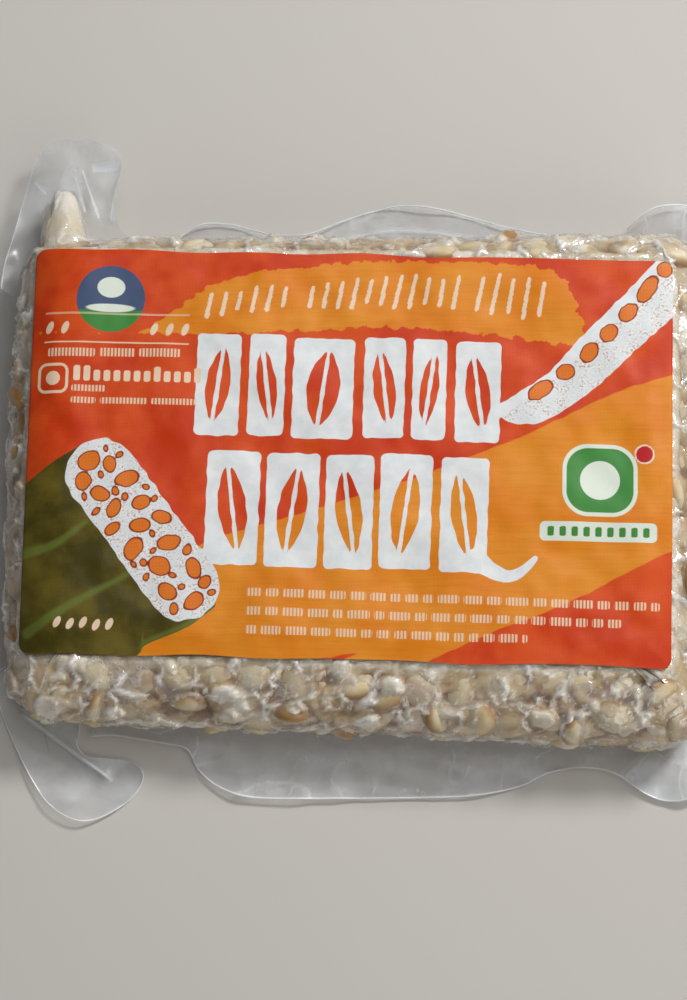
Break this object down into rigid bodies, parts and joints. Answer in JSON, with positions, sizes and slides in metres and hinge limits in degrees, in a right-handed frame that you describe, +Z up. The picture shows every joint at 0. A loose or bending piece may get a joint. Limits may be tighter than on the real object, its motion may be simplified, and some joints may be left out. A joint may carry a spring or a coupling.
{
  "type": "vacuum-packed tempeh cake",
  "caption": "Slab of soybean tempeh shrink-sealed in clear film with free film edges and folded corner ears, under a large printed paper label.",
  "frame": {"origin": "middle of the cake's flat underside, which rests on the table", "axes": "+X along the cake's length, +Y from its front to its back, +Z up through the label"},
  "size_m": [0.1412, 0.1306, 0.0195],
  "materials": {
    "tempeh": "satin",
    "label_paper": "satin",
    "clear_film": "gloss"
  },
  "bodies": {
    "root": {"tempeh_cake": "tempeh", "label": "label_paper", "film_rim_front": "clear_film", "film_rim_back": "clear_film", "film_ear_front_left": "clear_film", "film_ear_front_right": "clear_film", "film_ear_back_left": "clear_film", "film_ear_back_right": "clear_film"}
  },
  "joints": []
}
